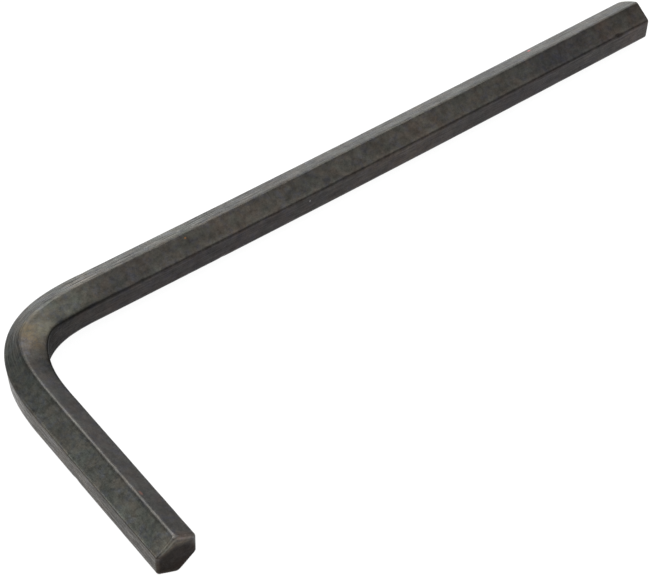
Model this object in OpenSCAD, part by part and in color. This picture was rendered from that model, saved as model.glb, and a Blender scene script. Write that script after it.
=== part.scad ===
// Hex key: one length of hexagon steel bar, bent once into an L and cropped at both ends.
// It lies flat, as it comes to rest on a bench: the long arm runs along X, the short arm along -Y,
// and one corner of the hexagon points straight up. Millimetres.

/* [Hexagon bar] */
// Width across the flats, which is the size of the key
across_flats = 4; // [2:0.5:10]
// How far each corner is rounded back from a sharp hexagon
corner_break = 0.06; // [0.02:0.01:0.12]

/* [Arms] */
// Overall length along the long arm, measured to the outside of the short arm
long_arm = 79.5; // [50:0.5:200]
// Overall length along the short arm, measured to the outside of the long arm
short_arm = 30; // [20:0.5:60]

/* [Bend] */
// Radius of the flat on the inside of the bend
inside_radius = 5.2; // [2:0.2:8]

/* [Cropped ends] */
// How far the rolled side of each end runs back along the arm
roll_length = 0.5; // [0.1:0.1:0.8]
// How far the rolled side of each end reaches in from the corner
roll_depth = 1; // [0.4:0.1:1.2]

/* [Hidden] */
sharp_radius = across_flats / sqrt(3);
corner_radius = sharp_radius - corner_break;
bend_radius = inside_radius + across_flats / 2;
bend_reach = across_flats / 2 + bend_radius;
roll_angle = atan2(roll_length, roll_depth);
// Directions round the bar, from the outside of the bend towards straight up
outer_corner = 30;
inner_flat = 120;

// The bar's section, with flats facing left and right and a corner at the top
module section() {
    intersection() {
        rotate(30) circle(sharp_radius, $fn = 6);
        circle(corner_radius, $fn = 96);
    }
}

// A block whose underside slopes off one side of an end that finishes at z = 0
module roll_cut(side) {
    rotate([0, 0, side])
        translate([corner_radius - roll_depth, 0, 0])
            rotate([0, roll_angle, 0])
                translate([0, 0, across_flats])
                    cube([4 * across_flats, 4 * across_flats, 2 * across_flats], center = true);
}

// A straight length along +Z that ends with one rolled side, seen with the outside of the bend at +X
module arm(straight, rolled_side) {
    difference() {
        linear_extrude(straight) section();
        translate([0, 0, straight]) roll_cut(rolled_side);
    }
}

module hex_key() {
    color([0.24, 0.23, 0.22])
        translate([-long_arm / 2, short_arm / 2, corner_radius]) {
            translate([bend_reach, -across_flats / 2, 0])
                rotate([90, 0, 90])
                    arm(long_arm - bend_reach, outer_corner);
            translate([bend_reach, -bend_reach, 0])
                rotate([0, 0, 90])
                    rotate_extrude(angle = 90, $fn = 96)
                        translate([bend_radius, 0])
                            section();
            translate([across_flats / 2, -bend_reach, 0])
                rotate([90, 0, 0])
                    mirror([1, 0, 0])
                        arm(short_arm - bend_reach, inner_flat);
        }
}

hex_key();
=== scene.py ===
import bpy
import numpy as np
from mathutils import Matrix, Vector


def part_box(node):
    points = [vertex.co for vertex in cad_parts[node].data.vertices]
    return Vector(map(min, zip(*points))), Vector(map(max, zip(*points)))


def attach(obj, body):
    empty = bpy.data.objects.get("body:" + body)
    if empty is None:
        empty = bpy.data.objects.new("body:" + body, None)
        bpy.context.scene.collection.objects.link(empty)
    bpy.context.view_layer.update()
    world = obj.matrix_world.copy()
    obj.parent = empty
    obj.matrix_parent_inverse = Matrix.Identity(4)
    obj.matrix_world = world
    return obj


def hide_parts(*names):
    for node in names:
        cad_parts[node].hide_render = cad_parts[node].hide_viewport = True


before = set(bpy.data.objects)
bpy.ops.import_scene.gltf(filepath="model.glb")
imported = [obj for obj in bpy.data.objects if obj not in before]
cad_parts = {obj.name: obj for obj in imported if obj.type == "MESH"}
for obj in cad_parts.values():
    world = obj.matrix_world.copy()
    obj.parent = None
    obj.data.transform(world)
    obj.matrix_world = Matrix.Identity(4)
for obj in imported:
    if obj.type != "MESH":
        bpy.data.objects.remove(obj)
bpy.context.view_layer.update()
print("frame loaded:", len(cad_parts), "node")

# what a user would change, in metres and degrees; corners and flats of the hexagon are
# counted round the section from the outside of the bend, over the top, to the inside
bar = {
    "acrossFlats": 0.004,
    "cornerBreak": 0.00006,               # how far each corner is taken back from a sharp hexagon
    "outerCornerSharper": 0.00004,        # the upper outer corner keeps more of its edge
    "crispness": 95,                      # how sharply the flats and the corner lands meet
    "shortTilt": 0.88,                    # the short arm leans in from square
    "nearSlope": -0.79,                   # the long arm's heading as it leaves the bend
    "farSlope": 0.5,                      # and past the bow
    "bowEnd": 0.060,                      # from the middle of the bend
    "landWander": 0.000014,               # how unevenly the corners are broken
    "landWanderSteps": (0.0021, 0.0006),  # over what lengths, coarse and fine
    "coarseShare": 0.6,
    "outsideInset": 0.00004,              # the outside of the bend stays this far inside the box
    "ringStep": 0.00017,                  # between rings along the bar
    "pointsPerFlat": 20,
}

bend = {
    "meanRadius": 0.0098,                 # of the centre line, if it turned evenly
    "tightening": 0.7,                    # how much tighter the bend is at its middle than on average
    "outerPull": 0.00006,                 # how far the stretched outside flat draws in
    # how far each corner has moved out and up at the middle of the bend, and how soon that fades
    "cornerMoves": [
        (-0.00007, 0.00000, 0.8),
        (0.00053, 0.00000, 1.8),
        (-0.00007, 0.00082, 1.6),
        (0.00013, -0.00039, 1.6),
        (0.00020, 0.00000, 1.8),
        (-0.00028, 0.00014, 0.8),
    ],
}

# the two cropped ends: which side rolled over, how far along and how deep, how far the burr
# stands out and on which side, and how round the rim is
ends = {
    "long": {
        "side": 34,
        "rollLength": 0.0007,
        "rollDepth": 0.0008,
        "burr": 0.00003,
        "burrSide": 214,
        "rimRound": 0.00009,
    },
    "short": {
        "side": 100,
        "rollLength": 0.0003,
        "rollDepth": 0.0012,
        "burr": 0.00012,
        "burrSide": 285,
        "rimRound": 0.00022,
    },
    "burrRise": (0.25, 0.90),             # parts of the way out where the burr begins and is full
    "settle": 0.003,                      # the last stretch of each arm that follows the roll
}

# nicks in the corners: which corner, how far along the bar, half length, depth
nicks = [
    (0, 0.0352, 0.00040, 0.00004),
    (1, 0.0089, 0.00025, 0.00003),
    (1, 0.0421, 0.00030, 0.00004),
    (1, 0.0473, 0.00022, 0.00003),
    (1, 0.0566, 0.00018, 0.00003),
    (1, 0.0714, 0.00025, 0.00003),
    (2, 0.0392, 0.00035, 0.00005),
    (2, 0.0625, 0.00025, 0.00004),
    (2, 0.0981, 0.00030, 0.00010),
    (3, 0.0480, 0.00030, 0.00004),
    (5, 0.0120, 0.00035, 0.00005),
]

lowCorner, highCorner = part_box("hex_key")
halfFlat = bar["acrossFlats"] / 2
landRadius = bar["acrossFlats"] / np.sqrt(3) - bar["cornerBreak"]
flatCount = 6
halfFlatTurn = np.radians(30)
flatAngles = np.radians(np.arange(0, 360, 60))
landAngles = flatAngles + halfFlatTurn
bendTurn = 90 + bar["shortTilt"] - bar["nearSlope"]
bendLength = bend["meanRadius"] * np.radians(bendTurn)
bendSamples = 2001                        # for the bend's own reach
lineSamples = 6001                        # for the whole centre line


def sRise(values, start, end):
    # 0 before start, 1 after end, an S-curve between
    t = np.clip((values - start) / (end - start), 0, 1)
    return t * t * (3 - 2 * t)


def bell(values, middle, reach):
    # 1 at the middle, fading over the reach on both sides
    return np.exp(-((values - middle) / reach) ** 2)


def patch(values, row):
    # a bell with the row's height, middle and reach
    height, middle, reach = row
    return height * bell(values, middle, reach)


def wander(values, step, seed):
    # a smooth random line: random heights a step apart, joined by S-curves, from -1 to 1
    count, first = 4096, 2000             # heights in the list, and the one where values are 0
    heights = np.random.default_rng(seed).uniform(-1, 1, count)
    place = values / step + first
    cell = np.floor(place).astype(int)
    t = sRise(place - cell, 0, 1)
    return heights[cell % count] * (1 - t) + heights[(cell + 1) % count] * t


def turning(u):
    # how much of the bend is behind, at the part u of its length: slow at both ends, tight at the middle
    return u - bend["tightening"] * np.sin(2 * np.pi * u) / (2 * np.pi)


# the straight stretches are what the frame's box leaves beside the bend's own reach
bendHeading = np.radians(90 + bar["shortTilt"] - bendTurn * turning(np.linspace(0, 1, bendSamples)))
boxLength = highCorner.x - lowCorner.x - bar["outsideInset"]
boxWidth = highCorner.y - lowCorner.y
shortStraight = boxWidth - halfFlat - bendLength * np.sin(bendHeading).mean()
longStraight = boxLength - halfFlat - bendLength * np.cos(bendHeading).mean()
barLength = shortStraight + bendLength + longStraight


def heading(along):
    # the direction from +X: up the short arm, round the bend, then a slow bow back over the long arm
    turned = turning(np.clip((along - shortStraight) / bendLength, 0, 1))
    bowed = np.clip((along - shortStraight - bendLength / 2) / bar["bowEnd"], 0, 1)
    bow = (bar["farSlope"] - bar["nearSlope"]) * bowed
    return np.radians(90 + bar["shortTilt"] - bendTurn * turned + bow), turned


def centreLine(along):
    # the running sum of the heading, laid so that the long arm and the outside of the bend
    # meet the frame's box
    fine = np.linspace(0, barLength, lineSamples)
    angle, turned = heading(fine)
    walk = np.stack([np.cos(angle), np.sin(angle)], 1) * (fine[1] - fine[0])
    line = np.concatenate([[[0, 0]], np.cumsum((walk[1:] + walk[:-1]) / 2, 0)])
    outside = line[:, 0] - np.sin(angle) * halfFlat
    line[:, 0] += lowCorner.x + bar["outsideInset"] - outside.min()
    line[:, 1] += highCorner.y - halfFlat - line[-1, 1]
    angle, turned = heading(along)
    x = np.interp(along, fine, line[:, 0])
    y = np.interp(along, fine, line[:, 1])
    return np.stack([x, y, np.full_like(x, landRadius + lowCorner.z)], 1), angle, turned


def ringAngles():
    # points round the section, crowded towards its corners, with the seam at the bottom corner
    side = np.linspace(-1, 1, bar["pointsPerFlat"], endpoint=False)
    spread = halfFlatTurn * np.sin(np.pi / 2 * side)
    return (-2 * halfFlatTurn + flatAngles[:, None] + spread[None]).ravel()


def section(along, turned, angle):
    # every flat and every corner land pushes the surface in to its own distance, joined by a high
    # power mean; a weight for each says how much of a point belongs to it
    flats = np.full((len(along), flatCount), halfFlat)
    flats[:, 0] -= bend["outerPull"] * np.sin(np.pi * turned)
    lands = np.full((len(along), flatCount), landRadius)
    coarseStep, fineStep = bar["landWanderSteps"]
    fineSeed = 10                         # the coarse lines' seeds are the corners' own numbers
    for corner in range(flatCount):
        coarse = wander(along, coarseStep, corner)
        fine = wander(along, fineStep, corner + fineSeed)
        mixed = bar["coarseShare"] * coarse + (1 - bar["coarseShare"]) * fine
        lands[:, corner] += bar["landWander"] * mixed
    for corner, place, reach, depth in nicks:
        lands[:, corner] -= depth * bell(along, place, reach)
    lands = np.minimum(lands, landRadius)
    lands[:, 0] += bar["outerCornerSharper"]
    distance = np.concatenate([flats, lands], 1)
    facing = np.cos(angle[:, None] - np.concatenate([flatAngles, landAngles])[None])
    leastFacing = 0.02                    # what faces away has no say, and its power stays finite
    push = (np.maximum(facing, leastFacing)[None] / distance[:, None]) ** bar["crispness"]
    total = push.sum(2)
    radius = total ** (-1 / bar["crispness"])
    out = radius * np.cos(angle)
    up = radius * np.sin(angle)

    # in the bend the corners have moved, and the flats follow them in straight lines
    ringFlat = np.repeat(np.arange(flatCount) - 1, bar["pointsPerFlat"])
    cornerAfter = ringFlat % flatCount
    cornerBefore = (ringFlat - 1) % flatCount
    part = (np.tan(angle - ringFlat * 2 * halfFlatTurn) / np.tan(halfFlatTurn) + 1) / 2
    moves = np.array(bend["cornerMoves"])
    amount = np.sin(np.pi * turned)[:, None] ** moves[:, 2]
    for axis, values in ((0, out), (1, up)):
        moved = amount * moves[:, axis]
        values += moved[:, cornerBefore] * (1 - part) + moved[:, cornerAfter] * part
    up = np.maximum(up, -landRadius)      # nothing sinks into the floor
    return out, up, push / total[..., None]


def fallBack(out, up, end):
    # how far a cropped face falls back: a quarter ellipse on the side that rolled over, less a low
    # ridge that stands out on the side where the blade broke through
    side = np.radians(end["side"])
    toSide = (out * np.cos(side) + up * np.sin(side)) / landRadius
    deepest = 0.999                       # just short of the ellipse's upright end
    reach = np.clip((toSide - 1) * landRadius / end["rollDepth"] + 1, 0, deepest)
    burrSide = np.radians(end["burrSide"])
    toBurr = (out * np.cos(burrSide) + up * np.sin(burrSide)) / landRadius
    rolled = end["rollLength"] * (1 - np.sqrt(1 - reach ** 2))
    return rolled - end["burr"] * sRise(toBurr, *ends["burrRise"])


# the rings of a cropped face: turns of its rounded rim, then parts of the way out from its middle
rimTurns = np.radians([67.5, 45, 22.5, 0])
inward = np.array([0.98, 0.95, 0.92, 0.88, 0.84, 0.80, 0.75, 0.70, 0.64, 0.58, 0.50, 0.42, 0.32, 0.21, 0.1])
capRings = len(rimTurns) + len(inward)


def addMesh(name, points, faces):
    # an object of these points and faces, at the origin
    mesh = bpy.data.meshes.new(name)
    mesh.from_pydata(points, [], faces)
    mesh.update()
    piece = bpy.data.objects.new(name, mesh)
    bpy.context.scene.collection.objects.link(piece)
    return piece


def barGrid(along, angle):
    # a section carried along the centre line on a grid of rings, with more rings that round each
    # end's rim and cross its face, and the middles of the two faces as poles
    line, lineHeading, turned = centreLine(along)
    out, up, share = section(along, turned, angle)
    level = np.zeros_like(along)
    walk = np.stack([np.cos(lineHeading), np.sin(lineHeading), level], 1)
    outward = np.stack([-np.sin(lineHeading), np.cos(lineHeading), level], 1)

    def lay(row, out, up, slide):
        # out and up from the centre line, and slid along it
        flat = line[row] + out[..., None] * outward[row] + slide[..., None] * walk[row]
        return flat + up[..., None] * np.array([0, 0, 1.0])

    settle = ends["settle"]
    nearShort = np.clip(1 - along / settle, 0, 1)[:, None]
    nearLong = np.clip(1 - (barLength - along) / settle, 0, 1)[:, None]
    slide = nearShort * (fallBack(out[0], up[0], ends["short"]) + ends["short"]["rimRound"])
    slide = slide - nearLong * (fallBack(out[-1], up[-1], ends["long"]) + ends["long"]["rimRound"])
    skin = lay(np.arange(len(along))[:, None], out, up, slide)

    def cap(row, end, sign):
        # the end's section shrunk round a quarter circle at the rim, then in steps to the middle
        rings = []
        for turn in rimTurns:
            shrink = 1 - end["rimRound"] * (1 - np.sin(turn)) / landRadius
            back = end["rimRound"] * (1 - np.cos(turn))
            o, u = out[row] * shrink, up[row] * shrink
            rings.append(lay(row, o, u, sign * (fallBack(o, u, end) + back)))
        start = 1 - end["rimRound"] / landRadius
        for part in inward:
            o, u = out[row] * part * start, up[row] * part * start
            rings.append(lay(row, o, u, sign * fallBack(o, u, end)))
        return np.array(rings)

    shortCap = cap(0, ends["short"], 1)
    longCap = cap(len(along) - 1, ends["long"], -1)
    return np.concatenate([shortCap[::-1], skin, longCap]), [line[0], line[-1]], turned, share


def makeBar():
    # the grid's points, joined by quads from ring to ring and closed by a fan round each pole
    along = np.linspace(0, barLength, int(barLength / bar["ringStep"]))
    angle = ringAngles()
    grid, poles, turned, share = barGrid(along, angle)
    rows, columns = grid.shape[:2]
    points = np.concatenate([grid.reshape(-1, 3), poles])

    r, c = np.meshgrid(np.arange(rows - 1), np.arange(columns), indexing="ij")
    here = r * columns + c
    beside = r * columns + (c + 1) % columns
    quads = np.stack([here, beside, beside + columns, here + columns], -1).reshape(-1, 4)
    firstPole = np.full(columns, rows * columns)
    firstFan = np.stack([beside[0], here[0], firstPole], 1)
    lastFan = np.stack([here[-1] + columns, beside[-1] + columns, firstPole + 1], 1)
    piece = addMesh("hexKeyBar", points, quads.tolist() + firstFan.tolist() + lastFan.tolist())
    piece.data.polygons.foreach_set("use_smooth", np.ones(len(piece.data.polygons), bool))

    # the surface's own map: along the bar in U, round it in V, one unit for each centimetre
    unitsPerMetre = 100
    rowAlong = np.concatenate([np.zeros(capRings), along, np.full(capRings, barLength)])
    roundBar = np.append(angle + 3 * halfFlatTurn, 2 * np.pi) * landRadius
    u = np.stack([rowAlong[r], rowAlong[r], rowAlong[r + 1], rowAlong[r + 1]], -1)
    v = np.stack([roundBar[c], roundBar[c + 1], roundBar[c + 1], roundBar[c]], -1)
    fanCorners = 3 * columns              # of the triangles round one pole
    fanUv = np.zeros((2 * fanCorners, 2))
    fanUv[fanCorners:, 0] = barLength
    corners = np.concatenate([np.stack([u, v], -1).reshape(-1, 2), fanUv])
    uv = piece.data.uv_layers.new(name="barMap")
    uv.data.foreach_set("uv", (corners * unitsPerMetre).ravel())

    paint(piece.data, along, turned, angle, share)
    return piece


# tints of the oxide on the six flats of each arm, with painted light and shade: each flat lighter or darker
# for the light it faces
flatTintsLitAndShaded = {
    "short": [
        (1.10, 0.98, 0.85), (1.09, 1.13, 1.10), (1.08, 1.04, 1.07),
        (0.90, 0.88, 0.90), (0.90, 0.88, 0.88), (1.00, 0.94, 0.88),
    ],
    "long": [
        (1.04, 1.00, 0.94), (1.38, 1.39, 1.38), (1.07, 1.02, 0.98),
        (0.76, 0.70, 0.72), (0.90, 0.88, 0.88), (1.00, 0.94, 0.88),
    ],
}

# patches lighter or darker along the flats: which flat, how far along the bar, half length, tint;
# the darker ones on flat 3, the inner flat, are painted shade
flatPatches = [
    (0, 0.0048, 0.0020, (0.76, 0.79, 0.82)),
    (0, 0.0219, 0.0020, (0.66, 0.68, 0.68)),
    (1, 0.0000, 0.0003, (1.32, 1.24, 1.18)),
    (1, 0.0046, 0.0014, (1.12, 1.12, 1.10)),
    (1, 0.0222, 0.0040, (0.66, 0.68, 0.68)),
    (1, 0.0262, 0.0028, (0.66, 0.66, 0.66)),
    (1, 0.0344, 0.0014, (1.70, 1.62, 1.54)),
    (1, 0.0444, 0.0014, (1.36, 1.38, 1.30)),
    (1, 0.0500, 0.0030, (0.84, 0.84, 0.84)),
    (1, 0.0560, 0.0022, (0.80, 0.76, 0.74)),
    (1, 0.0668, 0.0030, (0.86, 0.86, 0.86)),
    (1, 0.0730, 0.0022, (1.16, 1.14, 1.12)),
    (1, 0.0830, 0.0030, (0.72, 0.72, 0.74)),
    (2, 0.0000, 0.0003, (1.40, 1.28, 1.22)),
    (2, 0.0232, 0.0020, (0.78, 0.80, 0.79)),
    (2, 0.0272, 0.0014, (0.84, 0.78, 0.67)),
    (2, 0.0308, 0.0028, (1.72, 1.84, 1.76)),
    (2, 0.0380, 0.0026, (0.84, 0.86, 0.90)),
    (2, 0.0495, 0.0030, (1.14, 1.10, 1.08)),
    (2, 0.0580, 0.0030, (0.94, 0.96, 0.98)),
    (2, 0.0725, 0.0020, (1.14, 1.08, 1.06)),
    (2, 0.0910, 0.0048, (0.74, 0.76, 0.86)),
    (2, 0.0969, 0.0009, (1.12, 0.98, 0.95)),
    (2, 0.1010, 0.0016, (0.86, 0.80, 0.80)),
    # painted shade, which keeps the floor's reflection off the inside of the bend
    (3, 0.0236, 0.0050, (0.15, 0.15, 0.15)),
    (3, 0.0470, 0.0120, (0.92, 0.89, 0.94)),
    (3, 0.0700, 0.0050, (1.30, 1.16, 1.06)),
    (3, 0.0860, 0.0090, (0.78, 0.74, 0.80)),
    (3, 0.1006, 0.0020, (1.34, 1.18, 1.14)),
]

# painted shade on the corners, darker than their flats for how the light falls, and painted light where the
# amount is below 0: which corner, how much, and from where to where along the bar that grows
paintedCornerLightAndShade = [
    (0, 0.60, 0.026, 0.020),
    (1, 0.35, 0.026, 0.034),
    (2, 0.50, 0.019, 0.023),
    (2, 0.42, 0.025, 0.027),
    (2, -2.60, 0.030, 0.042),
]
paintedCornerSpread = 0.4                    # lower spreads a corner's painted shade further onto its flats

# wear along the bar, with painted highlight on the top corner; a row of three is how much of it,
# where and how far it reaches
wornAndLit = {
    "topCorner": (0.34, 0.04),            # how bare the top corner is, with painted highlight, on the short and the long arm
    "topCornerChange": (0.014, 0.024),    # from where to where the one gives way to the other
    "topPastBend": (0.36, 0.0325, 0.0045),
    "topAtTip": (0.5, 0.0, 0.0005),
    "topUneven": 0.35,                    # how uneven all that is, but for the tip
    "topUnevenStep": 0.0011,              # and over what length
    "topUnevenSeed": 31,
    "scuffedInside": (1.8, 0.0250, 0.0060),  # the matte inside of the bend
    "lines": {0: 0.8, 1: 1.0, 3: 0.3},    # how strongly the drawing lines show on these flats
    "linesAnywhere": 0.04,                # and besides that on every flat
}

# where the drawing lines on flat 1 are fainter: how much, and from where to where that changes
topLines = {
    "comeIn": (0.95, 0.021, 0.028),
    "fade": (0.45, 0.046, 0.060),
}

# the cropped faces, with distances as parts of the way from the rim to the middle; a row of three
# is how much, how far in and how wide; the lighter band and edge are painted light, the darker middle partly
# painted shade
cut = {
    # the browned cut steel, lighter on the rolled rim as painted light and darker in the middle, partly
    # painted shade
    "rimTintAndLight": (1.60, 1.38, 1.24),
    "middleTintAndShade": (0.42, 0.31, 0.27),
    "firstTurn": 0.4,                     # how much of the cut's tint the rim's first turn takes
    "rolledReach": 0.20,                  # how far in the rolled side carries the bar's own finish
    "rolledFade": (-0.08, 0.04),
    "litBandFade": (0.05, 0.35),             # where the painted lighter band past the rolled side gives out
    "paintedEdgeLight": (0.7, 0.02, 0.045),       # a painted lighter edge, counted from where the rolled side ends
    "rimRub": (1.2, 0.0, 0.06),           # the rim of the rolled side, rubbed lighter
}


def paint(mesh, along, turned, angle, share):
    # what the finish follows, worked out for every point: the tints of its flats by weight, with their
    # painted light and shade, times its patches and the painted shade on its corners, how worn its corner
    # is, with painted highlight, how strongly the drawing lines show, and how matte it is
    flat = share[..., :flatCount]
    land = share[..., flatCount:]
    weight = flat + (land + np.roll(land, 1, axis=2)) / 2     # a corner is half each flat's beside it
    onLong = turned[:, None, None]
    # the flats' tints, with their painted light and shade
    arms = np.array([flatTintsLitAndShaded["short"], flatTintsLitAndShaded["long"]])
    tintLitAndShaded = np.einsum("rcf,rfk->rck", weight, arms[0] * (1 - onLong) + arms[1] * onLong)
    # lighter and darker patches; the darker ones on flat 3 are painted shade
    for number, place, reach, patchTint in flatPatches:
        amount = weight[..., number] * bell(along, place, reach)[:, None]
        tintLitAndShaded *= 1 - amount[..., None] * (1 - np.array(patchTint))
    # painted shade along the corners, and painted light where the amount is below 0
    for corner, darker, start, end in paintedCornerLightAndShade:
        amount = darker * land[..., corner] ** paintedCornerSpread * sRise(along, start, end)[:, None]
        tintLitAndShaded *= 1 - amount[..., None]

    # the top corner is rubbed bare and painted lighter as a highlight on the short arm, past the bend and at
    # the short tip
    shortBare, longBare = wornAndLit["topCorner"]
    rubbedAndLit = shortBare + (longBare - shortBare) * sRise(along, *wornAndLit["topCornerChange"])
    rubbedAndLit = rubbedAndLit + patch(along, wornAndLit["topPastBend"])
    uneven = wander(along, wornAndLit["topUnevenStep"], wornAndLit["topUnevenSeed"])
    rubbedAndLit = rubbedAndLit * (1 + wornAndLit["topUneven"] * uneven) + patch(along, wornAndLit["topAtTip"])
    wearAndHighlight = land[..., 1] * np.clip(rubbedAndLit, 0, 1)[:, None]

    # drawing lines, fainter on the top flat before the bend and far along
    missing, missingFrom, missingTo = topLines["comeIn"]
    faded, fadedFrom, fadedTo = topLines["fade"]
    onTop = 1 - missing * (1 - sRise(along, missingFrom, missingTo))
    onTop = onTop - faded * sRise(along, fadedFrom, fadedTo)
    lines = np.full(flat.shape[:2], wornAndLit["linesAnywhere"])
    for number, strength in wornAndLit["lines"].items():
        lines += strength * flat[..., number] * (onTop[:, None] if number == 1 else 1)
    scuffed = flat[..., 3] * patch(along, wornAndLit["scuffedInside"])[:, None]

    # the cropped faces take the tint of bare cut steel that has browned, with painted light in a lighter
    # band on the rolled side, which faces up, and darker away from it, partly painted shade; the rolled side
    # keeps the bar's own finish up to a painted lighter edge; both are painted with the short one's rolled
    # side
    fromRim = np.concatenate([np.zeros(len(rimTurns)), 1 - inward])
    onCut = np.concatenate([np.linspace(cut["firstTurn"], 1, len(rimTurns)), np.ones(len(inward))])
    onSkin = np.zeros(len(along))
    fromRim = np.concatenate([fromRim[::-1], onSkin, fromRim])[:, None]
    onCut = np.concatenate([onCut[::-1], onSkin, onCut])[:, None]
    rolledSide = np.clip(np.cos(angle - np.radians(ends["short"]["side"])), 0, 1)
    pastRolled = fromRim - cut["rolledReach"] * rolledSide
    rimRub = (onCut > 0) * patch(fromRim, cut["rimRub"]) * rolledSide
    onCut = onCut * sRise(pastRolled, *cut["rolledFade"])
    litBand = ((1 - sRise(pastRolled, *cut["litBandFade"])) * rolledSide)[..., None]
    edge = 1 + patch(pastRolled, cut["paintedEdgeLight"])[..., None]
    cutTintLitAndShaded = (np.array(cut["rimTintAndLight"]) * litBand + np.array(cut["middleTintAndShade"]) * (1 - litBand)) * edge

    # every ring of a face repeats the bar's last ring, under the cut's own tint
    repeats = np.pad(np.arange(len(along)), capRings, "edge")
    tintLitAndShaded = tintLitAndShaded[repeats] * (1 + rimRub[..., None])
    tintLitAndShaded = tintLitAndShaded * (1 - onCut[..., None]) + cutTintLitAndShaded * onCut[..., None]
    wearAndHighlight = wearAndHighlight[repeats] * (1 - onCut)
    lines = lines[repeats] * (1 - onCut)
    matte = np.maximum(scuffed[repeats] * (1 - onCut), onCut)

    def withPoles(values):
        # all rings' values, then the mean of the first ring and of the last
        poles = np.stack([values[0].mean(0), values[-1].mean(0)])
        return np.concatenate([values.reshape((-1,) + values.shape[2:]), poles])

    color = withPoles(np.concatenate([tintLitAndShaded, np.ones(tintLitAndShaded.shape[:2] + (1,))], 2))
    mesh.attributes.new("tintLitAndShaded", "FLOAT_COLOR", "POINT").data.foreach_set("color", color.ravel())
    for name, values in (("wearAndHighlight", wearAndHighlight), ("lines", lines), ("matte", matte)):
        mesh.attributes.new(name, "FLOAT", "POINT").data.foreach_set("value", withPoles(values))


# the black oxide; a pattern is the noise's scale, detail and roughness, the range of it that
# counts, and what that range becomes
finish = {
    "oxide": (0.0405, 0.0400, 0.0395),
    "brown": (1.09, 1.00, 0.89),
    "olive": (0.97, 1.03, 0.95),
    "blue": (0.93, 0.96, 1.07),
    # bare steel of the worn corners, which also gives the painted highlight
    "bareAndHighlight": (0.105, 0.100, 0.093),
    "bronze": (0.070, 0.054, 0.031),
    "bronzePlace": (-0.0356, 0.0105, 0.0044),
    "bronzeSize": (0.0008, 0.0024, 0.0010),
    "bronzeFade": (0.30, 1.20),           # parts of the way out where it starts to fade, and ends
    "bronzeCover": 0.75,
    "markFade": (0.6, 1.15),              # the same for the small marks
    "warmClouds": (800, 5, 0.65, 0.38, 0.62, 0.0, 1.0),
    "coolClouds": (1150, 5, 0.65, 0.50, 0.66, 0.0, 1.0),
    "blotches": (1800, 5, 0.75, 0.30, 0.70, 0.64, 1.36),
    "wideBlotches": (650, 3, 0.6, 0.36, 0.64, 0.86, 1.14),
    "patchyWear": (2600, 3, 0.6, 0.36, 0.60, 0.35, 1.0),
    "flecks": (3000, 5, 0.75, 0.40, 0.62, 0.0, 1.0),
    "raggedMarks": (14000, 2, 0.6, 0.3, 0.7, -0.3, 0.3),
    "roughness": (2600, 4, 0.65, 0.3, 0.7, 0.32, 0.48),
    "grain": (9000, 3, 0.7),
    "grainRange": (0.3, 0.7, 0.84, 1.16),
    "pits": (3500, 5, 0.75),
    "longLines": (2.2, 85, 1),            # how often they change along and across the map
    "shortLines": (9, 170, 1),
    "linesNoise": (1.0, 2, 0.55),
    "longShare": 0.6,
    "linesRange": (0.4, 0.6),
    "linesShade": (-0.75, 1.0),           # from the darkest line to the lightest
    "linesRoughness": (0.20, -0.20),      # added along the same lines
    "matteRoughness": 0.25,               # added where the surface is matte
    "bumpHeight": 0.000006,
    "grainHeight": 0.5,                   # times the bump's height, as are the next two
    "linesHeight": 6.0,
    "pitsHeight": 5.0,
}

# small marks on the bar, one of them a painted highlight: place, half sizes along X, Y and Z, colour, how
# fully they cover
marks = {
    "rustSpeck": ((-0.01771, 0.01237, 0.00430), (0.00011, 0.00009, 0.0001), (0.15, 0.075, 0.035), 0.9),
    "rustSpeckFar": ((0.02603, 0.01430, 0.00374), (0.0002, 0.00014, 0.00014), (0.42, 0.10, 0.10), 0.9),
    "rustSpeckShort": ((-0.03716, -0.00949, 0.00430), (0.00016, 0.0003, 0.0002), (0.14, 0.075, 0.06), 0.8),
    "brightChip": ((-0.00446, 0.01076, 0.00273), (0.00009, 0.0001, 0.00008), (0.28, 0.27, 0.27), 0.9),
    "brightGraze": ((-0.01765, 0.01368, 0.00406), (0.00028, 0.00007, 0.0001), (0.22, 0.21, 0.19), 0.8),
    # a painted highlight where the short tip's top corner meets its rim
    "paintedTipHighlight": ((-0.03726, -0.01480, 0.00446), (0.00032, 0.00013, 0.0003), (0.15, 0.145, 0.14), 0.8),
    "darkPit": ((0.03546, 0.01102, 0.00338), (0.00022, 0.0001, 0.00016), (0.008, 0.007, 0.006), 0.9),
}


def addNode(tree, kind, inputs=None, **settings):
    # a node with its settings, each input linked to a socket or set to a value
    node = tree.nodes.new(kind)
    for name, value in settings.items():
        setattr(node, name, value)
    for name, value in (inputs or {}).items():
        if isinstance(value, bpy.types.NodeSocket):
            tree.links.new(value, node.inputs[name])
        else:
            node.inputs[name].default_value = value
    return node


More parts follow.
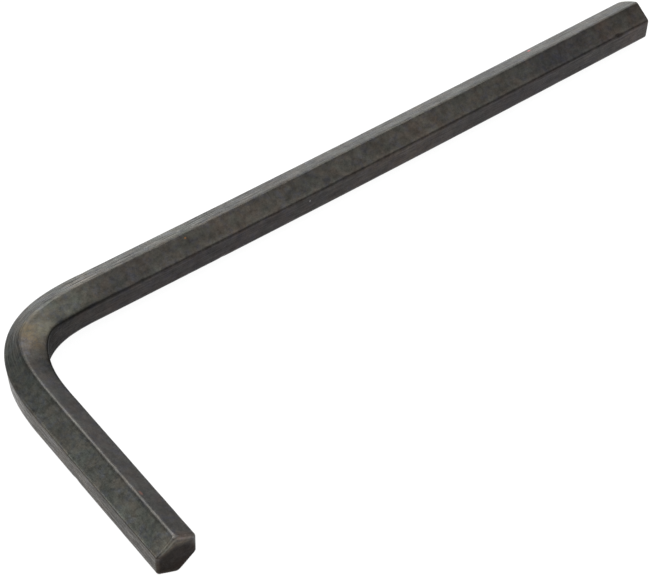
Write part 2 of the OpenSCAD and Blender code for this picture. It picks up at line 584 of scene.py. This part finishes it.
def oxideSteel():
    # oxide x clouds x tint x (blotches x grain + lines), with bare steel, bronze and marks laid over;
    # the tint holds painted light and shade, and the bare steel and one mark hold painted highlight
    material = bpy.data.materials.new("blackOxideSteel")
    material.use_nodes = True
    tree = material.node_tree
    shader = tree.nodes["Principled BSDF"]
    place = addNode(tree, "ShaderNodeTexCoord").outputs["Object"]
    barMap = addNode(tree, "ShaderNodeUVMap", uv_map="barMap").outputs["UV"]

    def attribute(name, output):
        return addNode(tree, "ShaderNodeAttribute", attribute_name=name).outputs[output]

    def noise(vector, scale, detail, rough):
        inputs = {"Vector": vector, "Scale": scale, "Detail": detail, "Roughness": rough}
        return addNode(tree, "ShaderNodeTexNoise", inputs).outputs["Fac"]

    def math(operation, a, b):
        return addNode(tree, "ShaderNodeMath", {0: a, 1: b}, operation=operation).outputs[0]

    def spread(value, low, high, toLow, toHigh):
        # from the range low to high onto toLow to toHigh, and no further
        inputs = {"Value": value, "From Min": low, "From Max": high, "To Min": toLow, "To Max": toHigh}
        return addNode(tree, "ShaderNodeMapRange", inputs).outputs[0]

    def pattern(name):
        # noise in the object's own space, spread as the finish says
        scale, detail, rough, low, high, toLow, toHigh = finish[name]
        return spread(noise(place, scale, detail, rough), low, high, toLow, toHigh)

    def opaque(color):
        # a fixed colour needs its fourth value
        return color if isinstance(color, bpy.types.NodeSocket) else (*color, 1)

    def mix(factor, a, b, blend="MIX"):
        inputs = {"Fac": factor, "Color1": opaque(a), "Color2": opaque(b)}
        return addNode(tree, "ShaderNodeMixRGB", inputs, blend_type=blend).outputs[0]

    def nearness(centre, size):
        # 0 at the centre of an egg shape and 1 on its surface
        apart = addNode(tree, "ShaderNodeVectorMath", {0: place, 1: centre}, operation="SUBTRACT").outputs[0]
        scaled = addNode(tree, "ShaderNodeVectorMath", {0: apart, 1: size}, operation="DIVIDE").outputs[0]
        return addNode(tree, "ShaderNodeVectorMath", {0: scaled}, operation="LENGTH").outputs["Value"]

    wearAndHighlight, lines, matte = (attribute(name, "Fac") for name in ("wearAndHighlight", "lines", "matte"))

    # clouds of brown, olive and blue in the oxide
    color = mix(pattern("warmClouds"), finish["olive"], finish["brown"])
    color = mix(pattern("coolClouds"), color, finish["blue"])
    color = mix(1.0, color, finish["oxide"], "MULTIPLY")
    # times the tint, which carries painted light and shade
    color = mix(1.0, color, attribute("tintLitAndShaded", "Color"), "MULTIPLY")

    # darker and lighter blotches, fine grain, and the lines left by the drawing die
    blotch = math("MULTIPLY", pattern("blotches"), pattern("wideBlotches"))
    grain = noise(place, *finish["grain"])
    lineNoise = []
    for name in ("longLines", "shortLines"):
        stretched = addNode(tree, "ShaderNodeMapping", {"Vector": barMap, "Scale": finish[name]}).outputs[0]
        lineNoise.append(noise(stretched, *finish["linesNoise"]))
    longPart = math("MULTIPLY", lineNoise[0], finish["longShare"])
    shortPart = math("MULTIPLY", lineNoise[1], 1 - finish["longShare"])
    drawn = math("ADD", longPart, shortPart)
    drawnShade = math("MULTIPLY", lines, spread(drawn, *finish["linesRange"], *finish["linesShade"]))
    shade = math("ADD", math("MULTIPLY", blotch, spread(grain, *finish["grainRange"])), drawnShade)
    tone = addNode(tree, "ShaderNodeCombineColor", {0: shade, 1: shade, 2: shade}).outputs[0]
    color = mix(1.0, color, tone, "MULTIPLY")

    # oxide rubbed off along the worn corners, partly painted highlight on the top corner
    color = mix(math("MULTIPLY", wearAndHighlight, pattern("patchyWear")), color, finish["bareAndHighlight"])

    # bronze flecks where the former pressed on the bend, then the small marks, one a painted highlight
    bronzeAway = nearness(finish["bronzePlace"], finish["bronzeSize"])
    bronze = spread(bronzeAway, *finish["bronzeFade"], finish["bronzeCover"], 0.0)
    color = mix(math("MULTIPLY", bronze, pattern("flecks")), color, finish["bronze"])
    ragged = pattern("raggedMarks")
    for centre, size, markColor, cover in marks.values():
        away = math("ADD", nearness(centre, size), ragged)
        color = mix(spread(away, *finish["markFade"], cover, 0.0), color, markColor)

    # rougher and smoother streaks along the lines, and dull cut and scuffed places
    linesRoughness = spread(drawn, *finish["linesRange"], *finish["linesRoughness"])
    roughness = math("ADD", pattern("roughness"), math("MULTIPLY", lines, linesRoughness))
    roughness = math("ADD", roughness, math("MULTIPLY", matte, finish["matteRoughness"]))
    lineHeight = math("MULTIPLY", math("MULTIPLY", drawn, lines), finish["linesHeight"])
    pits = noise(place, *finish["pits"])
    pitHeight = math("MULTIPLY", math("MULTIPLY", matte, pits), finish["pitsHeight"])
    height = math("ADD", math("MULTIPLY", grain, finish["grainHeight"]), lineHeight)
    height = math("ADD", height, pitHeight)
    bumpInputs = {"Height": height, "Strength": 1.0, "Distance": finish["bumpHeight"]}
    bump = addNode(tree, "ShaderNodeBump", bumpInputs)
    tree.links.new(color, shader.inputs["Base Color"])
    tree.links.new(roughness, shader.inputs["Roughness"])
    tree.links.new(bump.outputs[0], shader.inputs["Normal"])
    shader.inputs["Metallic"].default_value = 1.0
    return material


hexKey = makeBar()
hexKey.data.materials.append(oxideSteel())
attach(hexKey, "root")
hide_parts("hex_key")
print("bar made:", len(hexKey.data.polygons), "faces")

studio = {
    "lens": 113.35,
    "sensor": 36,
    "nearest": 0.01,                      # closer than this the camera sees nothing
    "distance": 0.18880,
    "aim": (-0.009626, 0.001371, 0.002249),
    "azimuth": 39.242,
    "elevation": 47.958,
    "roll": -2.939,
    "floorSize": 3.0,
    "floorTone": 0.1,
    "floorGlow": 0.95,                    # the floor's own light, which leaves it evenly pale
    "floorRoughness": 0.9,
    "worldStrength": 0.45,
}

# soft lights, all turned to the middle: place, size, power
panels = {
    "overheadPanel": ((0, 0, 1.0), (0.6, 0.6), 2.5),
    "backPanel": ((0.3, 1.2, 0.4), (2.4, 0.8), 11.0),
    "backHighPanel": ((0.5, 0.7, 0.9), (0.9, 0.6), 9.4),
    "leftPanel": ((-1.2, 0.2, 0.4), (1.6, 0.8), 30),
    "frontPanel": ((0.5, -0.5, 1.0), (0.9, 0.9), 2.9),
}


def makeFloor():
    # one square at height 0, its middle under the object
    half = studio["floorSize"] / 2
    corners = [(-half, -half, 0), (half, -half, 0), (half, half, 0), (-half, half, 0)]
    floor = addMesh("studioFloor", corners, [(0, 1, 2, 3)])
    material = bpy.data.materials.new("paleFloor")
    material.use_nodes = True
    shader = material.node_tree.nodes["Principled BSDF"]
    shader.inputs["Base Color"].default_value = (*[studio["floorTone"]] * 3, 1)
    shader.inputs["Emission Color"].default_value = (1, 1, 1, 1)
    shader.inputs["Emission Strength"].default_value = studio["floorGlow"]
    shader.inputs["Roughness"].default_value = studio["floorRoughness"]
    shader.inputs["Specular IOR Level"].default_value = 0.0
    floor.data.materials.append(material)


def makePanel(name, place, size, power):
    # a rectangle of light at its place, turned to face the middle
    light = bpy.data.lights.new(name, "AREA")
    light.shape = "RECTANGLE"
    light.size, light.size_y = size
    light.energy = power
    panel = bpy.data.objects.new(name, light)
    panel.visible_camera = False
    bpy.context.scene.collection.objects.link(panel)
    turn = (-Vector(place)).to_track_quat("-Z", "Y").to_matrix().to_4x4()
    panel.matrix_world = Matrix.Translation(place) @ turn


def makeCamera():
    # back from the aim by the distance, against the direction given by azimuth and elevation, and
    # rolled about that direction
    azimuth, elevation, roll = (np.radians(studio[k]) for k in ("azimuth", "elevation", "roll"))
    level = np.cos(elevation)
    forward = Vector((level * np.sin(azimuth), level * np.cos(azimuth), -np.sin(elevation)))
    side = forward.cross(Vector((0, 0, 1))).normalized()
    up = side.cross(forward) * np.cos(roll) + side * np.sin(roll)
    camera = bpy.data.objects.new("camera", bpy.data.cameras.new("camera"))
    camera.data.lens = studio["lens"]
    camera.data.sensor_width = studio["sensor"]
    camera.data.clip_start = studio["nearest"]
    place = Vector(studio["aim"]) - forward * studio["distance"]
    turn = Matrix((forward.cross(up), up, -forward)).transposed().to_4x4()
    camera.matrix_world = Matrix.Translation(place) @ turn
    bpy.context.scene.collection.objects.link(camera)
    bpy.context.scene.camera = camera


def makeWorld():
    # the same white light from every side
    world = bpy.data.worlds.new("studioWorld")
    world.use_nodes = True
    background = world.node_tree.nodes["Background"]
    background.inputs["Color"].default_value = (1, 1, 1, 1)
    background.inputs["Strength"].default_value = studio["worldStrength"]
    bpy.context.scene.world = world


makeFloor()
for name, (place, size, power) in panels.items():
    makePanel(name, place, size, power)
makeWorld()
makeCamera()
bpy.context.scene.view_settings.view_transform = "Standard"
print("studio ready")
